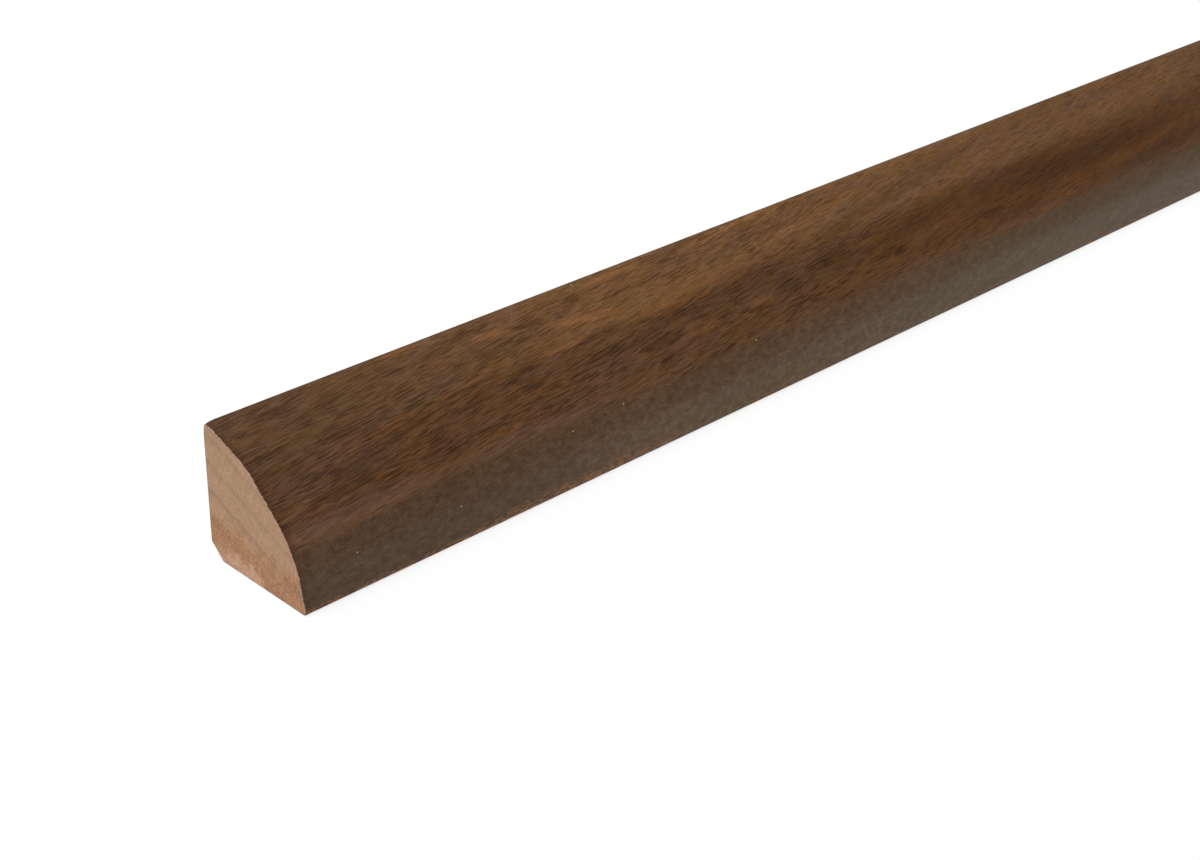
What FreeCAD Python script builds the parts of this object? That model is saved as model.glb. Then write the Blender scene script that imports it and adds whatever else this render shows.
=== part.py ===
import FreeCAD, Part
import math
import os

# Quarter round moulding: one stick of hardwood, in millimetres.
# +X runs along the stick, +Y faces the wall and +Z is up from the floor.
# The origin is at floor level, under the middle of the stick.

# The stick: a 3/4 in by 3/4 in section, 78 in long.
length = 1981.2
width = 19.05
height = 19.05

# The show face falls from a narrow level land at the wall to a narrow upright land
# at the toe. Between them it is three soft flats that meet in two round shoulders.
top_land = 0.8
upper_pitch = 19.5
upper_run = 8.2
upper_shoulder_radius = 10.0
lower_shoulder_radius = 12.0
lower_run = 7.4
lower_pitch = 78.0
toe_land = 0.85
land_edge_radius = 1.0

# The heel, where wall and floor meet, is bevelled so that it clears the corner of a room.
heel_across = 2.3
heel_up = 2.1

# The other long edges are only broken.
arris_radius = 0.25


def section_corners():
    """Corners of the section as (out from the wall, up from the floor, radius)."""
    upper = math.radians(upper_pitch)
    lower = math.radians(lower_pitch)
    upper_shoulder_out = top_land + upper_run * math.cos(upper)
    upper_shoulder_up = height - upper_run * math.sin(upper)
    lower_shoulder_out = width - lower_run * math.cos(lower)
    lower_shoulder_up = toe_land + lower_run * math.sin(lower)
    return [
        (heel_across, 0, arris_radius),
        (0, heel_up, arris_radius),
        (0, height, arris_radius),
        (top_land, height, land_edge_radius),
        (upper_shoulder_out, upper_shoulder_up, upper_shoulder_radius),
        (lower_shoulder_out, lower_shoulder_up, lower_shoulder_radius),
        (width, toe_land, land_edge_radius),
        (width, 0, arris_radius),
    ]


def rounded_corner(before, corner, after, radius):
    """The tangent arc that rounds one corner of an outline."""
    back = (before - corner).normalize()
    ahead = (after - corner).normalize()
    half_turn = (math.pi - back.getAngle(ahead)) / 2
    setback = radius * math.tan(half_turn)
    inset = radius / math.cos(half_turn) - radius
    inward = (back + ahead).normalize()
    return Part.Arc(
        corner + back * setback,
        corner + inward * inset,
        corner + ahead * setback,
    )


def rounded_outline(corners):
    """A closed wire: straight runs joined by the arcs that round the corners."""
    points = [point for point, radius in corners]
    arcs = []
    for index, (point, radius) in enumerate(corners):
        before = points[index - 1]
        after = points[(index + 1) % len(points)]
        arcs.append(rounded_corner(before, point, after, radius))
    edges = []
    for index, arc in enumerate(arcs):
        edges.append(Part.LineSegment(arcs[index - 1].EndPoint, arc.StartPoint).toShape())
        edges.append(arc.toShape())
    return Part.Wire(edges)


def quarter_round():
    """The section, drawn on the near end and drawn out along the stick."""
    near_end = -length / 2
    corners = [
        (FreeCAD.Vector(near_end, width / 2 - out, up), radius)
        for out, up, radius in section_corners()
    ]
    section = Part.Face(rounded_outline(corners))
    return section.extrude(FreeCAD.Vector(length, 0, 0))


os.makedirs("parts", exist_ok=True)
quarter_round().exportStep("parts/quarter_round.step")
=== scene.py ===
"""Quarter round moulding: one stick of hardwood with a dark walnut show face and bare sawn ends."""

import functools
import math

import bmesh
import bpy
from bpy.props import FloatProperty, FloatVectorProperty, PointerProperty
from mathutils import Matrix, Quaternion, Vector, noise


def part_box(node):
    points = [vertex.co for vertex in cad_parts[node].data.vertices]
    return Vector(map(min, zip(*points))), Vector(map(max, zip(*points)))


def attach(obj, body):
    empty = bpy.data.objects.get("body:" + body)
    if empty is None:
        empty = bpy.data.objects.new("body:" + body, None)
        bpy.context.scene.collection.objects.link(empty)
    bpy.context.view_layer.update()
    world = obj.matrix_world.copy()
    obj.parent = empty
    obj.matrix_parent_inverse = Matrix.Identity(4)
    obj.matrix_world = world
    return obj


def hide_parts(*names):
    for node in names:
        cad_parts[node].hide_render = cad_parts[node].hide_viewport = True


bl_info = {
    "name": "Quarter Round Moulding",
    "version": (1, 0, 0),
    "blender": (4, 5, 0),
    "location": "View3D > Sidebar > Moulding",
    "description": "Makes a stick of quarter round with a walnut finish, its floor, lamps and camera",
    "category": "Object",
}

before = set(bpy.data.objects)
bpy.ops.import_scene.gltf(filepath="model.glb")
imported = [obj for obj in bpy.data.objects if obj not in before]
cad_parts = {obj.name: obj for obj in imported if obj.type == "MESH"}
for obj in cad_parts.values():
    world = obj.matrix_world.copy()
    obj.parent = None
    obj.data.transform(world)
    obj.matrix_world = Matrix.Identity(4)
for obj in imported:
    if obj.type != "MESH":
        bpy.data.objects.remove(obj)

NODE = "quarter_round"
LOWEST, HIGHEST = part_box(NODE)
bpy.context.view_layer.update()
LENGTH = HIGHEST.x - LOWEST.x
WIDTH = HIGHEST.y - LOWEST.y
HEIGHT = HIGHEST.z - LOWEST.z

MM = 0.001
SAME_PLACE = 1e-6
FACE_MAP = "FaceFlow"
BAKE_MAP = "OFBake"
FINISHED, BARE = 0, 1

# The mesh: turn of one step of a rounded edge, bays that the stick is cut into, and cuts
# of the worn tip as shares of its reach.
ARC_STEP = math.radians(2.5)
BAYS = 8
WEAR_CUTS = (0.12, 0.25, 0.4, 0.6, 0.8, 1.0)

# The bake map: rows of each finish, their heights, the side of a sawn end and the gap.
SHOW_ROWS, BARE_ROWS = 4, 2
SHOW_ROW_HIGH, BARE_ROW_HIGH = 0.160, 0.068
END_SIDE, MAP_GAP = 0.190, 0.005
END_ROOM = 0.05

# Depth of the fine relief in each material.
FINISH_RELIEF, BARE_RELIEF = 0.03, 0.02

# How far the noise of each seed is moved, so that no two are alike.
NOISE_STEP = (7.3, 3.1, 1.7)
PORE_STEP = (5.7, 2.3, 0)

# How far grain moves red, green and blue when it lightens or darkens the finish.
GRAIN_TINT = (0.70, 1.0, 1.75)

# The grain: its climb up the face for each step along, and the height of its long bends.
GRAIN_CLIMB = 0.11
BEND_HEIGHT = 110.0

# Open pores, as length, thickness and seed.
LONG_PORES = [(8.8, 0.46, 4), (6.8, 0.41, 7)]
SHORT_PORES = [(5.0, 0.38, 5), (4.2, 0.35, 9)]

# Spans across the show face, round it from the wall edge, where one flat becomes the next.
UPPER_SHOULDER = (7.0, 12.0)
LOWER_SHOULDER = (19.3, 21.2)

# Spans along the stick, from its near end, where the marks soften and the far tints grow.
GRAIN_SOFTENS = (95, 150)
MOTTLE_SOFTENS = (100, 170)
FAR_TINTS_GROW = (80, 150)

# Growth rings of the bare wood: their distance, the place of the first line and that of
# the strong line, and their slope across the sawn end as shares of out and up.
RING_GAP = 3.65
FIRST_LINE = 9.6
STRONG_LINE = 9.5
RING_SLOPE = (0.38, 0.92)

# Marks of the finish near the photographed end. Each is a soft patch: its middle as
# (from the near end, round the face from the wall edge), its half size and its turn.
ORANGE_STREAKS = [
    ((31, 0.9), (7, 0.7), 0.00),
    ((45, 3.9), (6, 0.9), 0.16),
    ((56, 6.4), (7, 1.2), 0.20),
    ((62, 7.6), (5, 1.1), 0.12),
    ((53, 10.0), (8, 0.7), 0.00),
    ((71, 10.0), (6, 1.0), 0.00),
    ((69, 1.8), (8, 0.9), 0.00),
    ((76, 15.0), (5, 1.1), -0.05),
    ((90, 15.0), (3, 1.0), 0.00),
]
GOLDEN_WASH = [((76, 9.0), (38, 3.2), 0.00)]
DARK_STREAKS = [
    ((4, 8.4), (5, 0.8), -0.05),
    ((9, 3.0), (4, 1.0), 0.00),
    ((14.5, 4.4), (2.5, 0.6), 0.00),
    ((14.5, 9.8), (4, 0.9), 0.00),
    ((9, 16.2), (4, 1.1), -0.10),
    ((13.5, 16.0), (3.5, 1.0), -0.10),
    ((22.5, 14.4), (3.5, 0.6), -0.10),
    ((27.5, 14.8), (3.5, 0.9), -0.10),
    ((41.5, 2.3), (5, 0.9), -0.05),
    ((50, 4.2), (5, 0.9), 0.10),
    ((60, 3.3), (4, 1.0), 0.00),
    ((65.5, 5.4), (2.2, 0.6), 0.00),
    ((48, 6.6), (3, 0.8), -0.05),
    ((36, 10.4), (5, 0.6), -0.08),
    ((34.5, 12.4), (4.5, 0.7), 0.00),
    ((43.5, 11.2), (4.5, 0.7), -0.12),
    ((44, 13.3), (3, 0.8), -0.05),
    ((45, 16.8), (2, 0.7), 0.00),
    ((47.5, 18.3), (2.5, 0.5), 0.00),
    ((60, 10.4), (7, 0.6), -0.05),
    ((58.5, 13.0), (5.5, 1.0), -0.08),
    ((69, 14.6), (6.5, 0.9), -0.05),
    ((68, 17.5), (3, 0.6), 0.00),
    ((74, 12.3), (6, 0.8), -0.03),
    ((92, 11.0), (9, 0.6), 0.00),
    ((97, 14.5), (4, 2.4), 0.00),
    ((107, 13.4), (8, 1.3), 0.00),
    ((120, 15.9), (6, 1.5), 0.00),
    ((147, 16.3), (6, 0.9), 0.00),
    ((176, 13.8), (40, 2.8), 0.00),
]
RED_PATCHES = [
    ((9, 13.6), (18, 3.6), -0.05),
    ((12, 19.7), (22, 3.4), 0.00),
    ((40, 19.4), (26, 1.8), 0.02),
]
DUST = [(9, 24.0), (26, 24.2), (47, 21.2), (57, 20.6), (85, 20.0), (63.6, 28.6), (62, 0.9)]
DUST_SIZE = (0.16, 0.16)

# Patches of the sawn end: middle as (out from the wall, up), half size and turn.
PALE_FLECKS = [((8.5, 1.6), (0.8, 1.4), -0.05), ((5.6, 1.9), (0.9, 1.1), 0.0)]
TAN_PATCHES = [
    ((4.2, 6.2), (2.2, 1.2), -0.3),
    ((8.4, 5.3), (2.0, 1.5), 0.0),
    ((11.6, 4.6), (1.1, 1.4), 0.1),
    ((14.2, 3.9), (1.4, 1.7), 0.0),
]
ORANGE_PATCHES = [((13.0, 5.5), (0.9, 0.8), 0.0), ((15.8, 1.5), (1.6, 1.4), 0.0)]


class MouldingSizes(bpy.types.PropertyGroup):
    """The section of the stick. Its width, height and length come from the frame."""

    top_land: FloatProperty(
        name="Top Land", description="Level strip along the wall edge",
        default=0.8 * MM, unit="LENGTH")
    upper_pitch: FloatProperty(
        name="Upper Pitch", description="Fall of the upper flat below level",
        default=math.radians(19.5), subtype="ANGLE")
    upper_run: FloatProperty(
        name="Upper Run", description="Upper flat, from the top land to the shoulder's corner",
        default=8.2 * MM, unit="LENGTH")
    upper_shoulder: FloatProperty(
        name="Upper Shoulder", description="Radius between the upper and the middle flat",
        default=10.0 * MM, unit="LENGTH")
    lower_shoulder: FloatProperty(
        name="Lower Shoulder", description="Radius between the middle and the lower flat",
        default=12.0 * MM, unit="LENGTH")
    lower_run: FloatProperty(
        name="Lower Run", description="Lower flat, from the shoulder's corner to the toe land",
        default=7.4 * MM, unit="LENGTH")
    lower_pitch: FloatProperty(
        name="Lower Pitch", description="Fall of the lower flat below level",
        default=math.radians(78.0), subtype="ANGLE")
    toe_land: FloatProperty(
        name="Toe Land", description="Upright strip along the floor edge",
        default=0.85 * MM, unit="LENGTH")
    land_edge: FloatProperty(
        name="Land Edge", description="Radius where a land meets its flat",
        default=1.0 * MM, unit="LENGTH")
    heel_across: FloatProperty(
        name="Heel Across", description="Heel bevel along the floor face",
        default=2.3 * MM, unit="LENGTH")
    heel_up: FloatProperty(
        name="Heel Up", description="Heel bevel up the wall face",
        default=2.1 * MM, unit="LENGTH")
    arris: FloatProperty(
        name="Arris", description="Radius of the other long edges",
        default=0.25 * MM, unit="LENGTH")
    outline_step: FloatProperty(
        name="Outline Step", description="Longest step between two points of the section",
        default=0.5 * MM, unit="LENGTH")
    end_break: FloatProperty(
        name="End Break", description="Sanded edge all round a sawn end",
        default=0.15 * MM, unit="LENGTH")
    tear_out: FloatProperty(
        name="Tear Out", description="Deepest nick of the saw in the finish at an end",
        default=0.08 * MM, unit="LENGTH")
    tip_wear: FloatProperty(
        name="Tip Wear", description="How far the top tip of the near end is worn down",
        default=0.25 * MM, unit="LENGTH")
    tip_wear_reach: FloatProperty(
        name="Tip Wear Reach", description="How far the worn tip reaches along the stick",
        default=1.6 * MM, unit="LENGTH")


class MouldingFinish(bpy.types.PropertyGroup):
    """The colours of the walnut finish and of the bare wood, and the tints that paint light, shade
    and reflection on the flats.
    """

    walnut: FloatVectorProperty(
        name="Walnut", description="Middle tone of the show face",
        default=(0.156, 0.0740, 0.0280), subtype="COLOR")
    walnut_warm: FloatVectorProperty(
        name="Warm Walnut", description="Orange-brown streaks of the show face",
        default=(0.229, 0.101, 0.0360), subtype="COLOR")
    walnut_dark: FloatVectorProperty(
        name="Dark Walnut", description="Dark streaks of the show face",
        default=(0.0745, 0.034, 0.0100), subtype="COLOR")
    walnut_red: FloatVectorProperty(
        name="Red Walnut", description="Reddish patches of the show face",
        default=(0.153, 0.079, 0.0470), subtype="COLOR")
    walnut_olive: FloatVectorProperty(
        name="Olive Walnut", description="Greenish patches of the show face",
        default=(0.135, 0.074, 0.0272), subtype="COLOR")
    pore: FloatVectorProperty(
        name="Pore", description="Open pores of the show face",
        default=(0.050, 0.0158, 0.0020), subtype="COLOR")
    # Painted shade: darkens the middle flat a little and makes it redder.
    middle_shade: FloatVectorProperty(
        name="Middle Shade", description="How the stain darkens the middle flat",
        default=(0.99, 0.96, 0.93), subtype="COLOR")
    # Darkens and warms the middle flat away from the near end.
    far_middle_tint: FloatVectorProperty(
        name="Far Middle Tint", description="How the middle flat darkens away from the near end",
        default=(0.88, 0.79, 0.61), subtype="COLOR")
    # Painted reflection: greys the lower flat as a mirror of the white floor would.
    lower_reflection: FloatVectorProperty(
        name="Lower Reflection", description="How the stain darkens the lower flat",
        default=(0.90, 0.96, 1.04), subtype="COLOR")
    # Painted shade: darkens the lower flat towards the near end, taking back some of its reflection
    # of the floor.
    near_lower_shade: FloatVectorProperty(
        name="Near Lower Shade", description="How the lower flat darkens towards the near end",
        default=(0.86, 0.86, 0.80), subtype="COLOR")
    # Painted light: lightens the lower flat towards the toe.
    toe_light: FloatVectorProperty(
        name="Toe Light", description="How the lower flat warms towards the toe",
        default=(1.15, 1.28, 1.34), subtype="COLOR")
    toe_rub: FloatVectorProperty(
        name="Toe Rub", description="Orange wood where the toe is rubbed",
        default=(0.470, 0.210, 0.066), subtype="COLOR")
    end_stain: FloatVectorProperty(
        name="End Stain", description="How the finish darkens right at a sawn end",
        default=(0.80, 0.68, 0.72), subtype="COLOR")
    # Painted reflection: greys the lower flat away from the near end, where it mirrors more of the
    # white floor.
    far_lower_reflection: FloatVectorProperty(
        name="Far Lower Reflection", description="How the lower flat greys away from the near end",
        default=(0.91, 1.02, 1.14), subtype="COLOR")
    # Painted reflection: greys the lower flat just below its shoulder, near the end.
    shoulder_foot_reflection: FloatVectorProperty(
        name="Shoulder Foot Reflection", description="How the lower flat greys just below its shoulder",
        default=(0.99, 1.02, 1.14), subtype="COLOR")
    dust: FloatVectorProperty(
        name="Dust", description="Specks of dust on the show face",
        default=(0.62, 0.57, 0.52), subtype="COLOR")
    bare: FloatVectorProperty(
        name="Bare Wood", description="Tan bare wood",
        default=(0.392, 0.234, 0.131), subtype="COLOR")
    bare_pink: FloatVectorProperty(
        name="Pink Bare Wood", description="Orange-pink bare wood towards the heel",
        default=(0.366, 0.179, 0.084), subtype="COLOR")
    bare_pale: FloatVectorProperty(
        name="Pale Bare Wood", description="Pale ray flecks and broken edges",
        default=(0.530, 0.320, 0.215), subtype="COLOR")
    bare_line: FloatVectorProperty(
        name="Ring Line", description="Dark line at the edge of a growth ring",
        default=(0.275, 0.143, 0.064), subtype="COLOR")
    sheen: FloatProperty(
        name="Roughness", description="Roughness of the satin finish",
        default=0.40, min=0.0, max=1.0, subtype="FACTOR")
    gloss: FloatProperty(
        name="Gloss", description="Strength of the satin finish's reflection",
        default=0.35, min=0.0, max=1.0, subtype="FACTOR")
    bare_roughness: FloatProperty(
        name="Bare Roughness", description="Roughness of the bare wood",
        default=0.75, min=0.0, max=1.0, subtype="FACTOR")


class MouldingStage(bpy.types.PropertyGroup):
    """The floor, the lamps and the camera."""

    floor_size: FloatProperty(
        name="Floor", description="Side of the square floor",
        default=60.0, unit="LENGTH")
    key_from: FloatVectorProperty(
        name="Key From", description="Where the soft key light comes from",
        default=(-0.45, 0.10, 0.89), subtype="DIRECTION")
    key_level: FloatProperty(
        name="Key Level", description="Strength of the key light",
        default=3.1, min=0.0)
    key_width: FloatProperty(
        name="Key Width", description="Angle that the key light fills, which softens its shadow",
        default=math.radians(45), subtype="ANGLE")
    room_level: FloatProperty(
        name="Room Level", description="Light from the dark side of the room",
        default=0.024, min=0.0)
    ceiling_level: FloatProperty(
        name="Ceiling Level", description="Light added overhead and behind the stick",
        default=0.12, min=0.0)
    backdrop_level: FloatProperty(
        name="Backdrop Level", description="Light added low down, all round the floor",
        default=0.288, min=0.0)
    camera_place: FloatVectorProperty(
        name="Camera Place", description="Camera, from the heel corner of the near end",
        default=(-0.1211, -0.1859, 0.1380), subtype="TRANSLATION")
    camera_heading: FloatProperty(
        name="Camera Heading", description="Turn of the view from the stick's length",
        default=math.radians(44.255), subtype="ANGLE")
    camera_fall: FloatProperty(
        name="Camera Fall", description="How far the view looks down",
        default=math.radians(28.65), subtype="ANGLE")
    camera_roll: FloatProperty(
        name="Camera Roll", description="Turn of the picture about the view",
        default=math.radians(1.765), subtype="ANGLE")
    camera_lens: FloatProperty(
        name="Lens", description="Focal length for a 36 mm wide picture",
        default=60.585, unit="CAMERA")


def section_corners(sizes):
    """Corners of the section as (out from the wall, up from the floor, radius)."""
    upper_out = sizes.top_land + sizes.upper_run * math.cos(sizes.upper_pitch)
    upper_up = HEIGHT - sizes.upper_run * math.sin(sizes.upper_pitch)
    lower_out = WIDTH - sizes.lower_run * math.cos(sizes.lower_pitch)
    lower_up = sizes.toe_land + sizes.lower_run * math.sin(sizes.lower_pitch)
    return [
        (0, HEIGHT, sizes.arris),
        (sizes.top_land, HEIGHT, sizes.land_edge),
        (upper_out, upper_up, sizes.upper_shoulder),
        (lower_out, lower_up, sizes.lower_shoulder),
        (WIDTH, sizes.toe_land, sizes.land_edge),
        (WIDTH, 0, sizes.arris),
        (sizes.heel_across, 0, sizes.arris),
        (0, sizes.heel_up, sizes.arris),
    ]


def round_corner(mesh, corner, radius):
    """Rounds one corner of an outline to a radius."""
    at = corner.co
    before, after = [(edge.other_vert(corner).co - at).normalized() for edge in corner.link_edges]
    half_turn = (math.pi - before.angle(after)) / 2
    segments = max(4, 2 * round(half_turn / ARC_STEP))
    bmesh.ops.bevel(
        mesh, geom=[corner], offset=radius * math.tan(half_turn), offset_type="OFFSET",
        affect="VERTICES", segments=segments, profile=0.5, material=-1)


def section_face(mesh, sizes):
    """The section at the near end, as one face with a close row of points round it."""
    corners = section_corners(sizes)
    points = [mesh.verts.new((LOWEST.x, HIGHEST.y - out, up)) for out, up, _ in corners]
    mesh.faces.new(points)
    for point, (_, _, radius) in zip(points, corners):
        round_corner(mesh, point, radius)
    for edge in list(mesh.edges):
        cuts = int(edge.calc_length() / sizes.outline_step)
        if cuts:
            bmesh.ops.subdivide_edges(mesh, edges=[edge], cuts=cuts)
    return mesh.faces[:][0]


def measure_girth(mesh, section):
    """Writes how far each outline point lies round the section, from the middle of the arris
    at the top of the wall face. Returns the girth at the toe's foot, and all the way round."""
    girth = mesh.verts.layers.float.new("girth")
    loops = list(section.loops)
    top = max(range(len(loops)), key=lambda i: loops[i].vert.co.z + loops[i].vert.co.y)
    along = loops[top:] + loops[:top]
    if along[1].vert.co.z < along[-1].vert.co.z:
        along = [along[0]] + along[:0:-1]
    total = 0.0
    for here, after in zip(along, along[1:] + along[:1]):
        here.vert[girth] = total
        total += (after.vert.co - here.vert.co).length
    foot = min((loop.vert for loop in loops), key=lambda vert: vert.co.z + vert.co.y)
    return foot[girth], total


def cut_across(mesh, places):
    """Cuts the stick across at each place along its length."""
    for place in places:
        bmesh.ops.bisect_plane(
            mesh, geom=mesh.verts[:] + mesh.edges[:] + mesh.faces[:],
            plane_co=(place, 0, 0), plane_no=(1, 0, 0), dist=SAME_PLACE)


def break_ends(mesh, sizes):
    """Sands the edge all round both sawn ends, and nicks it where the saw tore the finish."""
    girth = mesh.verts.layers.float["girth"]
    in_plane = 0.01 * MM
    nick_width, fine_nicks, end_shift = 0.9 * MM, 2.6, 7.0
    rims = [edge for edge in mesh.edges if abs(edge.verts[0].co.x - edge.verts[1].co.x) < in_plane]
    bmesh.ops.bevel(
        mesh, geom=rims, offset=sizes.end_break, offset_type="OFFSET", affect="EDGES",
        segments=2, profile=0.5, material=-1)
    for vert in mesh.verts:
        depth = min(vert.co.x - LOWEST.x, HIGHEST.x - vert.co.x)
        inward = 1 if vert.co.x < 0 else -1
        spot = Vector((vert[girth] / nick_width, inward * end_shift, 0))
        torn = noise.noise(spot) + 0.5 * noise.noise(spot * fine_nicks)
        vert.co.x += inward * max(0.0, torn) * sizes.tear_out * min(1.0, depth / sizes.end_break)


def wear_tip(mesh, sizes):
    """Wears the top tip of the near end down, most at the end and least along the stick."""
    strip = 1.4 * MM
    sideways_share = 0.7
    for vert in mesh.verts:
        along = (vert.co.x - LOWEST.x) / sizes.tip_wear_reach
        out = (HIGHEST.y - vert.co.y) / strip
        down = (HIGHEST.z - vert.co.z) / strip
        if along < 1 and out < 1 and down < 1:
            worn = sizes.tip_wear * (1 - along) ** 2 * (1 - out) * (1 - down)
            vert.co.y -= sideways_share * worn
            vert.co.z -= worn


def stick_mesh(mesh, sizes):
    """The section drawn out along the stick, with its ends sanded and its tip worn."""
    section = section_face(mesh, sizes)
    foot, total = measure_girth(mesh, section)
    made = bmesh.ops.extrude_face_region(mesh, geom=[section])
    far = [item for item in made["geom"] if isinstance(item, bmesh.types.BMVert)]
    bmesh.ops.translate(mesh, vec=(LENGTH, 0, 0), verts=far)
    bmesh.ops.recalc_face_normals(mesh, faces=mesh.faces[:])
    break_ends(mesh, sizes)
    cut_across(mesh, [LOWEST.x + sizes.tip_wear_reach * share for share in WEAR_CUTS])
    cut_across(mesh, [HIGHEST.x - sizes.tip_wear_reach])
    cut_across(mesh, [LOWEST.x + LENGTH * bay / BAYS for bay in range(1, BAYS)])
    wear_tip(mesh, sizes)
    return foot, total


def is_end(face):
    """A sawn end, as against the sides and the sanded edge between them."""
    return abs(face.normal.x) > 0.99


def girth_span(face, girth, total):
    """The girth of each corner of a side face, with no step where the outline closes."""
    spans = [loop.vert[girth] for loop in face.loops]
    if max(spans) - min(spans) > total / 2:
        spans = [span + total if span < total / 2 else span for span in spans]
    return spans


def choose_finish(mesh, foot, total):
    """The show face is finished, from the wall's top edge to the toe's foot. The rest is bare."""
    girth = mesh.verts.layers.float["girth"]
    for face in mesh.faces:
        spans = girth_span(face, girth, total)
        shown = not is_end(face) and sum(spans) / len(spans) < foot
        face.material_index = FINISHED if shown else BARE
        face.smooth = not is_end(face)


def lay_face_map(mesh, total):
    """A map in metres: along the stick from its near end, and round the section."""
    girth = mesh.verts.layers.float["girth"]
    layer = mesh.loops.layers.uv.new(FACE_MAP)
    for face in mesh.faces:
        for loop, span in zip(face.loops, girth_span(face, girth, total)):
            loop[layer].uv = (loop.vert.co.x - LOWEST.x, span)


def roomy(share, reach):
    """A share of a row of the bake map, with the first and last few millimetres given room."""
    if share < reach:
        return END_ROOM * share / reach
    if share > 1 - reach:
        return 1 - END_ROOM * (1 - share) / reach
    return END_ROOM + (1 - 2 * END_ROOM) * (share - reach) / (1 - 2 * reach)


def lay_bake_map(mesh, sizes, foot, total):
    """A folded map for the baked picture: a few rows for the show face, a few for the bare
    sides and a square for each sawn end."""
    girth = mesh.verts.layers.float["girth"]
    layer = mesh.loops.layers.uv.new(BAKE_MAP)
    bare_low = SHOW_ROWS * (SHOW_ROW_HIGH + MAP_GAP) + MAP_GAP
    end_low = bare_low + BARE_ROWS * (BARE_ROW_HIGH + MAP_GAP)
    wide = 1 - 2 * MAP_GAP
    for face in mesh.faces:
        middle = (face.calc_center_bounds().x - LOWEST.x) / LENGTH
        if is_end(face):
            left = MAP_GAP if middle < 0.5 else 2 * MAP_GAP + END_SIDE
            for loop in face.loops:
                out = (HIGHEST.y - loop.vert.co.y) / WIDTH
                up = (loop.vert.co.z - LOWEST.z) / HEIGHT
                loop[layer].uv = (left + END_SIDE * out, end_low + END_SIDE * up)
            continue
        shown = face.material_index == FINISHED
        rows = SHOW_ROWS if shown else BARE_ROWS
        row = int(middle * rows)
        reach = sizes.tip_wear_reach * rows / LENGTH
        for loop, span in zip(face.loops, girth_span(face, girth, total)):
            share = (loop.vert.co.x - LOWEST.x) / LENGTH * rows - row
            if shown:
                across = MAP_GAP + row * (SHOW_ROW_HIGH + MAP_GAP) + SHOW_ROW_HIGH * span / foot
            else:
                bare_share = (span - foot) / (total - foot)
                across = bare_low + row * (BARE_ROW_HIGH + MAP_GAP) + BARE_ROW_HIGH * bare_share
            loop[layer].uv = (MAP_GAP + wide * roomy(share, reach), across)


def placed(name, data):
    """A new object of the scene."""
    item = bpy.data.objects.new(name, data)
    bpy.context.scene.collection.objects.link(item)
    return item


def placed_mesh(name, mesh, *materials):
    """A new object of the scene from a finished mesh and its materials."""
    shape = bpy.data.meshes.new(name)
    mesh.to_mesh(shape)
    mesh.free()
    for material in materials:
        shape.materials.append(material)
    return placed(name, shape)


class MOULDING_OT_stick(bpy.types.Operator):
    """Make the stick of quarter round with its finish"""

    bl_idname = "moulding.stick"
    bl_label = "Make Stick"

    def execute(self, context):
        sizes = context.scene.moulding_sizes
        colours = context.scene.moulding_finish
        mesh = bmesh.new()
        foot, total = stick_mesh(mesh, sizes)
        choose_finish(mesh, foot, total)
        lay_face_map(mesh, total)
        lay_bake_map(mesh, sizes, foot, total)
        finished = WalnutFinish(colours, foot).material()
        bare = BareWood(colours).material()
        stick = placed_mesh("quarter_round_stick", mesh, finished, bare)
        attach(stick, "root")
        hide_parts(NODE)
        return {"FINISHED"}


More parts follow.
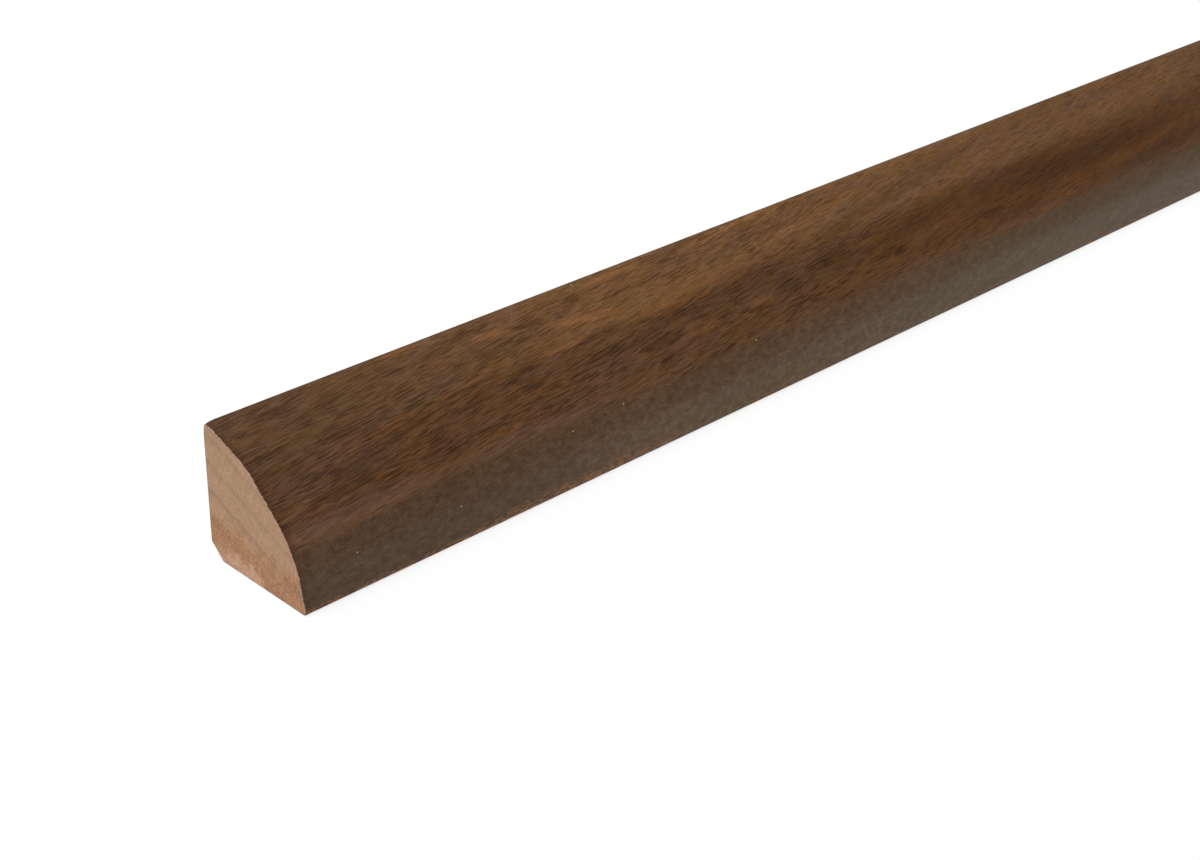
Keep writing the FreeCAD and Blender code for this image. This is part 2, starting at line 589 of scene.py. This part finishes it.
class Shader:
    """Short hand for the nodes of a material or of the world. Its lengths are in millimetres."""

    def __init__(self, owner):
        owner.use_nodes = True
        self.owner = owner
        self.tree = owner.node_tree
        self.tree.nodes.clear()

    def add(self, kind, inputs=None, **settings):
        """A node, with its settings made and its sockets fed."""
        node = self.tree.nodes.new(kind)
        for name, value in settings.items():
            setattr(node, name, value)
        for key, value in (inputs or {}).items():
            self.feed(node.inputs[key], value)
        return node

    def feed(self, socket, value):
        """Links a socket to another one, or sets its own number, vector or colour."""
        if isinstance(value, bpy.types.NodeSocket):
            self.tree.links.new(value, socket)
        elif hasattr(socket.default_value, "__len__") and len(socket.default_value) == 4:
            socket.default_value = (*value[:3], 1.0)
        else:
            socket.default_value = value

    def math(self, operation, *values):
        node = self.add("ShaderNodeMath", dict(enumerate(values)), operation=operation)
        return node.outputs[0]

    def plus(self, value, other):
        return self.math("ADD", value, other)

    def less(self, value, other):
        return self.math("SUBTRACT", value, other)

    def times(self, value, factor):
        return self.math("MULTIPLY", value, factor)

    def times_plus(self, value, factor, more):
        """A value times a factor, plus more."""
        return self.math("MULTIPLY_ADD", value, factor, more)

    def change(self, value, strength):
        """The factor 1 for no change, and more or less than 1 as the value is above or below 0."""
        return self.math("MULTIPLY_ADD", value, strength, 1.0)

    def most(self, value, other):
        return self.math("MAXIMUM", value, other)

    def strongest(self, shares):
        """The largest of several shares at each place."""
        return functools.reduce(self.most, shares)

    def vector(self, operation, *values):
        node = self.add("ShaderNodeVectorMath", dict(enumerate(values)), operation=operation)
        return node.outputs["Value" if operation in ("LENGTH", "DOT_PRODUCT") else "Vector"]

    def join(self, along, across, deep=0.0):
        return self.add("ShaderNodeCombineXYZ", {0: along, 1: across, 2: deep}).outputs[0]

    def parts(self, point):
        split = self.add("ShaderNodeSeparateXYZ", {0: point})
        return split.outputs[0], split.outputs[1], split.outputs[2]

    def scaled(self, point, size, seed, steps):
        """A point measured in blobs of a size, and moved by the seed."""
        shrunk = self.vector("MULTIPLY", point, [1 / length if length else 0 for length in size])
        return self.vector("ADD", shrunk, [seed * step for step in steps])

    def noise(self, point, size, seed, detail=2.0, roughness=0.5):
        """Soft noise from 0 to 1, in blobs of a size along each axis."""
        node = self.add(
            "ShaderNodeTexNoise",
            {"Vector": self.scaled(point, size, seed, NOISE_STEP),
             "Scale": 1.0, "Detail": detail, "Roughness": roughness},
            noise_dimensions="3D")
        return node.outputs["Fac"]

    def waver(self, point, size, seed, detail=2.0):
        """The same noise about 0, from -0.5 to 0.5."""
        return self.less(self.noise(point, size, seed, detail), 0.5)

    def ramp(self, value, start, end, low=0.0, high=1.0):
        """Goes smoothly from low to high while the value goes from start to end."""
        node = self.add(
            "ShaderNodeMapRange",
            {"Value": value, "From Min": start, "From Max": end, "To Min": low, "To Max": high},
            interpolation_type="SMOOTHSTEP")
        return node.outputs["Result"]

    def between(self, share, low, high):
        """Goes smoothly from low to high while a share goes from 0 to 1."""
        return self.ramp(share, 0.0, 1.0, low, high)

    def spread(self, noise, low, high):
        """Noise stretched over a range: its middle part fills the range from low to high."""
        return self.ramp(noise, 0.3, 0.7, low, high)

    def blend(self, share, under, over, mode="MIX"):
        node = self.add("ShaderNodeMix", data_type="RGBA", blend_type=mode)
        self.feed(node.inputs["Factor"], share)
        self.feed(node.inputs[6], under)
        self.feed(node.inputs[7], over)
        return node.outputs[2]

    def tinted(self, tone, share, stain):
        """A tone multiplied by a tint, as far as the share says. The tints are stains and painted
        light, shade and reflection.
        """
        return self.blend(share, tone, stain, "MULTIPLY")

    def shade(self, tone, by):
        """Lightens or darkens a tone by a factor."""
        return self.vector("SCALE", tone, (0, 0, 0), (0, 0, 0), by)

    def grain(self, tone, by):
        """Lightens or darkens a tone by a factor, as grain does: least in red, most in blue."""
        return self.vector("MULTIPLY", tone, self.vector("POWER", by, GRAIN_TINT))

    def patch(self, point, middle, half_size, turn, soft):
        """1 inside one placed patch, falling to 0 at its edge."""
        placed = self.add(
            "ShaderNodeMapping",
            {"Vector": point, "Location": (*middle, 0), "Rotation": (0, 0, turn),
             "Scale": (*half_size, 1)},
            vector_type="TEXTURE")
        return self.ramp(self.vector("LENGTH", placed.outputs[0]), 1.0, 1.0 - soft)

    def patches(self, point, places, soft=0.7):
        """1 inside the placed patches, falling to 0 at their edges."""
        return self.strongest(self.patch(point, *place, soft) for place in places)

    def pores(self, run, sizes):
        """Open pores: thin dashes along the grain, each with its own length and depth."""
        return self.strongest(self.dashes(run, *size) for size in sizes)

    def dashes(self, run, long, thick, seed):
        """Dashes of one size, scattered along the grain."""
        dash = self.add(
            "ShaderNodeTexVoronoi",
            {"Vector": self.scaled(run, (long, thick, 0), seed, PORE_STEP),
             "Scale": 1.0},
            voronoi_dimensions="2D")
        lot = self.add("ShaderNodeSeparateColor", {0: dash.outputs["Color"]})
        reach = self.between(lot.outputs[0], 0.13, 0.30)
        inside = self.ramp(self.math("DIVIDE", dash.outputs["Distance"], reach), 1.0, 0.6)
        return self.times(inside, self.between(lot.outputs[1], 0.6, 1.0))

    def surface(self, tone, roughness, height, depth, gloss=0.5):
        """The whole material: its tone, its roughness and the relief of its grain."""
        surface = self.add("ShaderNodeBsdfPrincipled", {
            "Base Color": tone, "Roughness": roughness, "Specular IOR Level": gloss})
        bump = self.add("ShaderNodeBump", {"Height": height, "Distance": depth * MM})
        self.feed(surface.inputs["Normal"], bump.outputs[0])
        return self.shown(surface)

    def shown(self, surface):
        """Shows a surface as the material, and gives the material back."""
        output = self.add("ShaderNodeOutputMaterial")
        self.feed(output.inputs["Surface"], surface.outputs[0])
        return self.owner


class WalnutFinish(Shader):
    """Dark walnut: streaks, fibres and open pores that lean with the grain, under a satin coat.
    `along` runs along the stick from its near end, and `across` round the face from the wall
    edge, both in millimetres."""

    def __init__(self, colours, foot):
        super().__init__(bpy.data.materials.new("walnut_finish"))
        self.colours = colours
        self.toe = foot / MM
        face = self.add("ShaderNodeUVMap", uv_map=FACE_MAP).outputs[0]
        self.point = self.vector("MULTIPLY", face, (1 / MM, 1 / MM, 0))
        self.along, self.across, _ = self.parts(self.point)

    def material(self):
        """Lays one layer of tone over another and makes the material of them."""
        self.lay_grain()
        tone = self.streaks()
        tone = self.fibres(tone)
        tone = self.sunken_pores(tone)
        tone = self.tints_and_painted_light(tone)
        tone = self.broken_edges(tone)
        specks = self.patches(self.point, [(spot, DUST_SIZE, 0.0) for spot in DUST], 0.8)
        tone = self.blend(specks, tone, self.colours.dust)
        sheen = self.colours.sheen
        uneven, dull_pores = 0.04, 0.2
        roughness = self.ramp(self.mottle, 0.2, 0.8, sheen - uneven, sheen + uneven)
        roughness = self.times_plus(self.filled_pores, dull_pores, roughness)
        height = self.less(self.times(self.fibre, 0.25), self.open_pores)
        return self.surface(tone, roughness, height, FINISH_RELIEF, self.colours.gloss)

    def zone(self, across, along):
        """1 where a span across the face and a span along the stick have both been passed."""
        return self.times(self.ramp(self.across, *across), self.ramp(self.along, *along))

    def lay_grain(self):
        """The grain climbs towards the wall edge, wavers a little, and far from the near end it
        swings up and down in long bends. Fibres, pores and clots of pores lie along it."""
        waver = self.waver(self.point, (16, 3.0, 1), seed=1)
        self.wavering = self.times_plus(waver, 1.8, self.across)
        self.ragged = self.join(self.along, self.wavering)
        bend = self.waver(self.join(self.along, 0.0), (240, 1, 1), seed=2, detail=1.0)
        bend = self.times(self.times(bend, BEND_HEIGHT), self.ramp(self.along, 200, 420))
        climb = self.times_plus(self.along, GRAIN_CLIMB, self.times_plus(waver, 0.9, self.across))
        self.run = self.join(self.along, self.plus(climb, bend))
        self.fibre = self.noise(self.run, (3.8, 0.28, 1), seed=3, detail=3.0, roughness=0.65)
        self.long_pores = self.pores(self.run, LONG_PORES)
        self.short_pores = self.pores(self.run, SHORT_PORES)
        self.open_pores = self.times(self.most(self.long_pores, self.short_pores), 0.8)
        self.crowd = self.ramp(self.noise(self.run, (9, 1.8, 1), seed=6), 0.36, 0.64)
        clots = self.noise(self.run, (4.5, 0.9, 1), seed=8, roughness=0.6)
        self.clots = self.ramp(clots, 0.54, 0.68)

    def streaks(self):
        """Broad streaks of tone, from noise along the grain and from the placed marks."""
        colours = self.colours
        dark = self.ramp(self.noise(self.run, (38, 3.6, 1), seed=27), 0.50, 0.72)
        warm = self.ramp(self.noise(self.run, (44, 2.8, 1), seed=28), 0.52, 0.74)
        red = self.ramp(self.noise(self.run, (12, 2.4, 1), seed=29, detail=1.0), 0.46, 0.68)
        olive = self.ramp(self.noise(self.run, (10, 2.0, 1), seed=35, detail=1.0), 0.48, 0.68)
        self.dark_marks = self.patches(self.ragged, DARK_STREAKS)
        self.warm_marks = self.patches(self.ragged, ORANGE_STREAKS)
        red_marks = self.patches(self.ragged, RED_PATCHES)
        olive = self.times(olive, self.ramp(self.across, 18.0, 14.0))
        tone = self.blend(self.times(olive, 0.6), colours.walnut, colours.walnut_olive)
        tone = self.blend(self.most(self.times(red, 0.5), red_marks), tone, colours.walnut_red)
        self.wash = self.patches(self.ragged, GOLDEN_WASH, 0.9)
        golden = self.most(self.times(warm, 0.5), self.times(self.wash, 0.28))
        golden = self.most(golden, self.times(self.warm_marks, 0.75))
        tone = self.blend(golden, tone, colours.walnut_warm)
        dark = self.most(self.times(dark, 0.4), self.times(self.dark_marks, 0.55))
        return self.blend(dark, tone, colours.walnut_dark)

    def fibres(self, tone):
        """Slanting figure across the grain, then fibres, blots and fine mottle. The streaks and
        fibres fade out on the lower flat, where the blots are strongest."""
        along, across = self.along, self.across
        low_edge = self.less(self.wavering, self.ramp(along, 34, 12, 0.0, 0.7))
        low = self.ramp(low_edge, *LOWER_SHOULDER)
        self.low = low
        self.upper = self.less(1.0, low)
        tone = self.blend(self.times(low, 0.85), tone, self.colours.walnut)
        slanted = self.join(self.times_plus(across, 3.0, along), across)
        figure = self.noise(slanted, (4.5, 6.0, 1), seed=30, detail=1.0)
        blots = self.noise(self.point, (1.3, 0.9, 1), seed=34, detail=3.0, roughness=0.6)
        self.mottle = self.noise(self.point, (0.34, 0.18, 1), seed=31, roughness=0.6)
        tone = self.grain(tone, self.spread(figure, 0.94, 1.07))
        fibre = self.ramp(self.fibre, 0.26, 0.54, -0.44, 0.0)
        near_shoulder = self.zone(across=(16.8, 19.2), along=(90, 45))
        self.calm = self.most(low, self.times(near_shoulder, 0.5))
        strength = self.between(self.calm, 1.0, 0.3)
        strength = self.times(strength, self.ramp(across, *UPPER_SHOULDER, 1.0, 1.35))
        strength = self.times(strength, self.ramp(along, *GRAIN_SOFTENS, 1.0, 0.75))
        tone = self.grain(tone, self.change(fibre, strength))
        blots = self.spread(blots, -0.29, 0.29)
        blots = self.times(blots, self.ramp(along, *MOTTLE_SOFTENS, 1.0, 0.5))
        tone = self.grain(tone, self.change(blots, self.between(low, 0.2, 1.0)))
        mottle = self.times(self.spread(self.mottle, -0.22, 0.22), self.between(low, 0.45, 1.0))
        softened = self.ramp(along, *MOTTLE_SOFTENS, 1.0, 0.6)
        return self.grain(tone, self.change(mottle, softened))

    def sunken_pores(self, tone):
        """Pores, thickest in the dark streaks, fewer in the golden ones and nearly gone on the
        lower flat. Where they clot, the wood between them is dark too."""
        crowd = self.most(self.times(self.crowd, 0.7), self.dark_marks)
        long_pores = self.times(self.long_pores, self.between(crowd, 0.72, 1.28))
        short_pores = self.times(self.short_pores, self.between(crowd, 0.65, 1.22))
        pores = self.most(long_pores, short_pores)
        pores = self.times(pores, self.between(self.calm, 1.0, 0.25))
        strength = self.ramp(self.across, *UPPER_SHOULDER, 0.82, 0.96)
        strength = self.times(strength, self.ramp(self.along, *GRAIN_SOFTENS, 1.0, 0.66))
        pores = self.times(pores, strength)
        golden = self.most(self.warm_marks, self.wash)
        self.filled_pores = self.times(pores, self.between(golden, 1.0, 0.45))
        clots = self.times(self.upper, self.between(crowd, 0.08, 0.26))
        clots = self.times(self.clots, clots)
        tone = self.blend(clots, tone, self.colours.walnut_dark)
        return self.blend(self.times(self.filled_pores, 0.95), tone, self.colours.pore)

    def tints_and_painted_light(self, tone):
        """Painted light, shade and reflection on the flats, with tints of unknown cause. A painted
        pool of light lies on the upper flat a little way in from the end. The middle flat gets
        painted shade, and a darker, warmer tint far from the near end. The lower flat gets a painted
        grey reflection of the white floor, painted shade near the end and painted light at the toe.
        A painted highlight runs along the lower shoulder, painted light just below the top edge,
        and painted shade on the arris at the top of the wall face."""
        along, across, low, colours = self.along, self.across, self.low, self.colours
        # Painted light: a broad pool of light on the upper flat, a little darker right at the near
        # end and fading towards the far end.
        upper_flat_light = self.ramp(along, 15, 65, -0.08, 0.27)
        upper_flat_light = self.times(upper_flat_light, self.ramp(along, 230, 90, 0.2, 1.0))
        tone = self.shade(tone, self.change(upper_flat_light, self.ramp(across, 12.0, 8.8)))
        # Painted shade on the middle flat, fading out below the lower shoulder.
        middle = self.ramp(across, 8.5, 12.0)
        middle = self.times(middle, self.ramp(across, 20.4, 17.6, 0.1, 1.0))
        tone = self.tinted(tone, middle, colours.middle_shade)
        # A darker, warmer tint of the middle flat away from the near end.
        far_middle = self.times(middle, self.ramp(along, *FAR_TINTS_GROW))
        tone = self.tinted(tone, far_middle, colours.far_middle_tint)
        # Painted reflection of the white floor on the lower flat.
        tone = self.tinted(tone, low, colours.lower_reflection)
        # Painted reflection just below the lower shoulder, near the end.
        below_shoulder = self.times(self.zone(across=(24.0, 21.0), along=(130, 75)), low)
        tone = self.tinted(tone, below_shoulder, colours.shoulder_foot_reflection)
        # Painted highlight: a lighter band along the lower shoulder.
        shoulder = self.times(self.zone(across=(17.4, 19.6), along=(180, 60)), self.upper)
        tone = self.shade(tone, self.change(shoulder, 0.15))
        # Painted shade on the lower flat towards the near end.
        near_low = self.times(low, self.ramp(along, 60, 25))
        tone = self.tinted(tone, near_low, colours.near_lower_shade)
        # Painted reflection of the white floor, growing away from the near end.
        far_low = self.times(low, self.ramp(along, *FAR_TINTS_GROW))
        tone = self.tinted(tone, far_low, colours.far_lower_reflection)
        # Painted light on the lower flat near the toe.
        toe = self.zone(across=(22.5, 26.0), along=(35, 65))
        tone = self.tinted(tone, toe, colours.toe_light)
        # Painted light just below the top edge, and painted shade on the arris at the very top.
        edge_light = self.zone(across=(3.0, 1.0, 0.0, 0.14), along=(12, 32, 0.2, 1.0))
        arris = self.ramp(across, 0.15, 0.5, 0.5, 1.0)
        return self.shade(tone, self.plus(edge_light, arris))

    def broken_edges(self, tone):
        """Bare wood shows where the saw broke the finish and where the toe is rubbed."""
        along, colours = self.along, self.colours
        saw = self.noise(self.point, (1.0, 0.45, 1), seed=32, detail=3.0, roughness=0.65)
        from_end = self.math("MINIMUM", along, self.less(LENGTH / MM, along))
        tone = self.tinted(tone, self.ramp(from_end, 1.2, 0.2), colours.end_stain)
        torn = self.less(from_end, self.ramp(saw, 0.3, 0.8, 0.02, 0.20))
        tone = self.blend(self.ramp(torn, 0.10, -0.08, 0.0, 0.85), tone, colours.bare_pale)
        rub = self.noise(self.point, (1.1, 0.35, 1), seed=33, detail=3.0, roughness=0.6)
        from_toe = self.less(self.toe, self.across)
        from_toe = self.math("DIVIDE", from_toe, self.ramp(along, 22, 36, 1.0, 2.0))
        rubbed = self.times(self.ramp(from_toe, 1.0, 0.1), self.ramp(rub, 0.42, 0.62))
        rubbed = self.times(rubbed, self.ramp(along, 50, 75, 0.80, 0.20))
        return self.blend(rubbed, tone, colours.toe_rub)


class BareWood(Shader):
    """Bare tan wood. Growth rings slope across the sawn ends and run along the other faces.
    `along` runs along the stick from its middle, `out` from the wall and `up` from the floor,
    all in millimetres."""

    def __init__(self, colours):
        super().__init__(bpy.data.materials.new("bare_wood"))
        self.colours = colours
        place = self.add("ShaderNodeTexCoord").outputs["Object"]
        self.point = self.vector("MULTIPLY", place, (1 / MM, 1 / MM, 1 / MM))
        self.along, sideways, self.up = self.parts(self.point)
        self.out = self.less(HIGHEST.y / MM, sideways)
        rim = self.less(LENGTH / 2 / MM, self.math("ABSOLUTE", self.along))
        self.at_end = self.ramp(rim, 0.6, 0.2)
        self.near = self.ramp(self.along, LOWEST.x / MM + 40, LOWEST.x / MM)

    def material(self):
        """Lays one layer of tone over another and makes the material of them."""
        late, line = self.rings()
        tone = self.heel_tones()
        tone = self.shade(tone, self.between(late, 1.03, 0.94))
        tone = self.blend(line, tone, self.colours.bare_line)
        tone = self.speckle(tone)
        tone = self.edge_shade(tone)
        height = self.plus(self.dots, self.bits)
        return self.surface(tone, self.colours.bare_roughness, height, BARE_RELIEF)

    def rings(self):
        """Growth rings, with one strong line on the near end. Returns the share of late wood
        and the thin dark lines where it stops."""
        out_share, up_share = RING_SLOPE
        level = self.times_plus(self.out, out_share, self.times(self.up, up_share))
        waver = self.waver(self.point, (160, 5, 5), seed=1)
        level = self.times_plus(waver, 1.1, level)
        self.fuzz = self.waver(self.point, (20, 0.5, 0.5), seed=8)
        level = self.times_plus(self.fuzz, 0.5, level)
        drift = self.waver(self.join(self.along, 0.0), (260, 1, 1), seed=2, detail=1.0)
        self.swing = self.times(drift, self.between(self.near, 9.0, 0.0))
        self.level = self.plus(level, self.swing)
        ring = self.math("DIVIDE", self.less(self.level, FIRST_LINE), RING_GAP)
        ring = self.math("FRACT", ring)
        late = self.ramp(ring, 0.45, 1.0)
        line = self.times(self.ramp(ring, 0.84, 0.96), self.ramp(ring, 1.0, 0.97))
        strong = self.math("ABSOLUTE", self.less(self.level, STRONG_LINE))
        strong = self.ramp(strong, 0.9, 0.3)
        return late, self.times(line, self.times_plus(strong, 0.32, 0.16))

    def heel_tones(self):
        """Orange-pink wood towards the heel, pinker and paler at the very bottom."""
        patchy = self.waver(self.point, (60, 2.4, 2.4), seed=3, detail=3.0)
        zone_level = self.times_plus(self.out, 0.13, self.up)
        zone_level = self.times_plus(patchy, 4.0, zone_level)
        zone_level = self.plus(zone_level, self.swing)
        heel = self.ramp(zone_level, 8.0, 5.8)
        self.section_point = self.join(self.times_plus(self.fuzz, 1.6, self.out), self.up)
        tan = self.patches(self.section_point, TAN_PATCHES, 0.8)
        tan = self.times(tan, self.times(self.near, 0.8))
        heel = self.times(heel, self.less(1.0, tan))
        orange = self.patches(self.section_point, ORANGE_PATCHES, 0.8)
        self.heel = self.most(heel, self.times(orange, self.near))
        tone = self.blend(self.heel, self.colours.bare, self.colours.bare_pink)
        bottom = self.times(self.ramp(self.up, 2.8, 0.8), self.ramp(self.out, 12.0, 9.0))
        return self.blend(self.times(bottom, 0.62), tone, self.colours.bare_pale)

    def speckle(self, tone):
        """Rays across the rings, soft clouds, end-grain speckle and the pale flecks."""
        ray_across = self.less(self.times(self.out, 0.91), self.times(self.up, 0.41))
        ray_point = self.join(self.along, ray_across, self.level)
        ray = self.noise(ray_point, (9, 0.55, 5), seed=4)
        cloud = self.noise(self.point, (30, 1.4, 1.4), seed=5)
        self.dots = self.noise(self.point, (2.5, 0.20, 0.20), seed=6, roughness=0.6)
        self.bits = self.noise(self.point, (1.8, 0.42, 0.42), seed=7, roughness=0.6)
        strength = self.between(self.heel, 0.45, 1.0)
        tone = self.shade(tone, self.spread(ray, 0.955, 1.045))
        tone = self.shade(tone, self.spread(cloud, 0.95, 1.05))
        dots = self.ramp(self.dots, 0.28, 0.72, -0.22, 0.22)
        grain = self.plus(dots, self.spread(self.bits, -0.16, 0.16))
        tone = self.shade(tone, self.change(grain, strength))
        flecks = self.times(self.patches(self.section_point, PALE_FLECKS, 0.6), self.near)
        flecks = self.times(flecks, self.ramp(self.bits, 0.25, 0.5, 0.3, 0.75))
        return self.blend(flecks, tone, self.colours.bare_pale)

    def edge_shade(self, tone):
        """Painted shade along the wall edge and the floor edge of the sawn ends."""
        edge = self.math("MINIMUM", self.out, self.times(self.up, 1.4))
        # Painted shade at the edges of the sawn ends, laid in a dark walnut colour.
        edge_shade = self.times(self.ramp(edge, 0.34, 0.12), self.at_end)
        return self.blend(self.times(edge_shade, 0.7), tone, self.colours.walnut_red)


def floor_material():
    """A pale floor that shows white and keeps the shadow."""
    paper_white, camera_share, mirror_share = 1.055, 0.72, 0.2
    s = Shader(bpy.data.materials.new("pale_floor"))
    paper = s.add("ShaderNodeBsdfDiffuse", {"Color": (0.86, 0.86, 0.86)})
    white = s.add("ShaderNodeEmission", {"Color": (1, 1, 1), "Strength": paper_white})
    seen = s.add("ShaderNodeLightPath").outputs
    mirrored = s.times(s.most(seen["Is Glossy Ray"], seen["Is Transmission Ray"]), mirror_share)
    share = s.times_plus(seen["Is Camera Ray"], camera_share, mirrored)
    mixed = s.add("ShaderNodeMixShader", {0: share})
    s.feed(mixed.inputs[1], paper.outputs[0])
    s.feed(mixed.inputs[2], white.outputs[0])
    return s.shown(mixed)


def make_floor(size):
    """A square floor a hair below the stick, so that the two faces never fight."""
    hair = 0.05 * MM
    mesh = bmesh.new()
    bmesh.ops.create_grid(mesh, x_segments=1, y_segments=1, size=size / 2)
    bmesh.ops.translate(mesh, vec=(0, 0, LOWEST.z - hair), verts=mesh.verts[:])
    floor = placed_mesh("floor", mesh, floor_material())


def make_key(stage):
    """The soft key light from overhead."""
    distance = 3
    lamp = bpy.data.lights.new("key", "SUN")
    lamp.energy = stage.key_level
    lamp.angle = stage.key_width
    holder = placed("key", lamp)
    holder.location = Vector(stage.key_from) * distance
    holder.rotation_mode = "QUATERNION"
    holder.rotation_quaternion = (-Vector(stage.key_from)).to_track_quat("-Z", "Y")


def make_world(stage):
    """A room that is bright overhead and behind the stick. The camera sees it white."""
    behind_and_over = (0.0, 0.6, 0.8)
    world = bpy.data.worlds.new("room")
    bpy.context.scene.world = world
    s = Shader(world)
    towards = s.add("ShaderNodeTexCoord").outputs["Generated"]
    overhead = s.vector("DOT_PRODUCT", towards, behind_and_over)
    height = s.parts(towards)[2]
    ceiling = s.ramp(overhead, 0.2, 0.9, 0.0, stage.ceiling_level)
    backdrop = s.ramp(height, 0.42, 0.12, 0.0, stage.backdrop_level)
    level = s.plus(s.plus(ceiling, backdrop), stage.room_level)
    path = s.add("ShaderNodeLightPath").outputs
    seen = s.most(path["Is Camera Ray"], path["Is Transmission Ray"])
    ground = s.add("ShaderNodeBackground", {"Color": (1, 1, 1), "Strength": s.most(level, seen)})
    s.add("ShaderNodeOutputWorld", {"Surface": ground.outputs[0]})


def make_camera(stage):
    """The camera of the photo, placed from the heel corner of the near end."""
    camera = bpy.data.cameras.new("camera")
    camera.sensor_width = 36.0
    camera.lens = stage.camera_lens
    camera.clip_start = 0.01
    camera.clip_end = 200.0
    holder = placed("camera", camera)
    heel = Vector((LOWEST.x, HIGHEST.y, LOWEST.z))
    holder.location = heel + Vector(stage.camera_place)
    level = Vector((math.cos(stage.camera_heading), math.sin(stage.camera_heading), 0))
    look = level * math.cos(stage.camera_fall) - Vector((0, 0, math.sin(stage.camera_fall)))
    upright = look.to_track_quat("-Z", "Y")
    holder.rotation_mode = "QUATERNION"
    holder.rotation_quaternion = upright @ Quaternion((0, 0, 1), stage.camera_roll)
    bpy.context.scene.camera = holder


class MOULDING_OT_stage(bpy.types.Operator):
    """Make the floor, the lamps, the room light and the camera"""

    bl_idname = "moulding.stage"
    bl_label = "Make Stage"

    def execute(self, context):
        stage = context.scene.moulding_stage
        make_floor(stage.floor_size)
        make_key(stage)
        make_world(stage)
        make_camera(stage)
        context.scene.view_settings.view_transform = "Standard"
        return {"FINISHED"}


class MOULDING_PT_panel(bpy.types.Panel):
    """Lists the makers of the moulding"""

    bl_idname = "MOULDING_PT_panel"
    bl_label = "Quarter Round"
    bl_space_type = "VIEW_3D"
    bl_region_type = "UI"
    bl_category = "Moulding"

    def draw(self, context):
        self.layout.operator("moulding.stick")
        self.layout.operator("moulding.stage")


CLASSES = (
    MouldingSizes,
    MouldingFinish,
    MouldingStage,
    MOULDING_OT_stick,
    MOULDING_OT_stage,
    MOULDING_PT_panel,
)


def register():
    for cls in CLASSES:
        bpy.utils.register_class(cls)
    bpy.types.Scene.moulding_sizes = PointerProperty(type=MouldingSizes)
    bpy.types.Scene.moulding_finish = PointerProperty(type=MouldingFinish)
    bpy.types.Scene.moulding_stage = PointerProperty(type=MouldingStage)


def unregister():
    del bpy.types.Scene.moulding_stage
    del bpy.types.Scene.moulding_finish
    del bpy.types.Scene.moulding_sizes
    for cls in reversed(CLASSES):
        bpy.utils.unregister_class(cls)


def main():
    register()
    bpy.ops.moulding.stick()
    bpy.ops.moulding.stage()


if __name__ == "__main__":
    main()
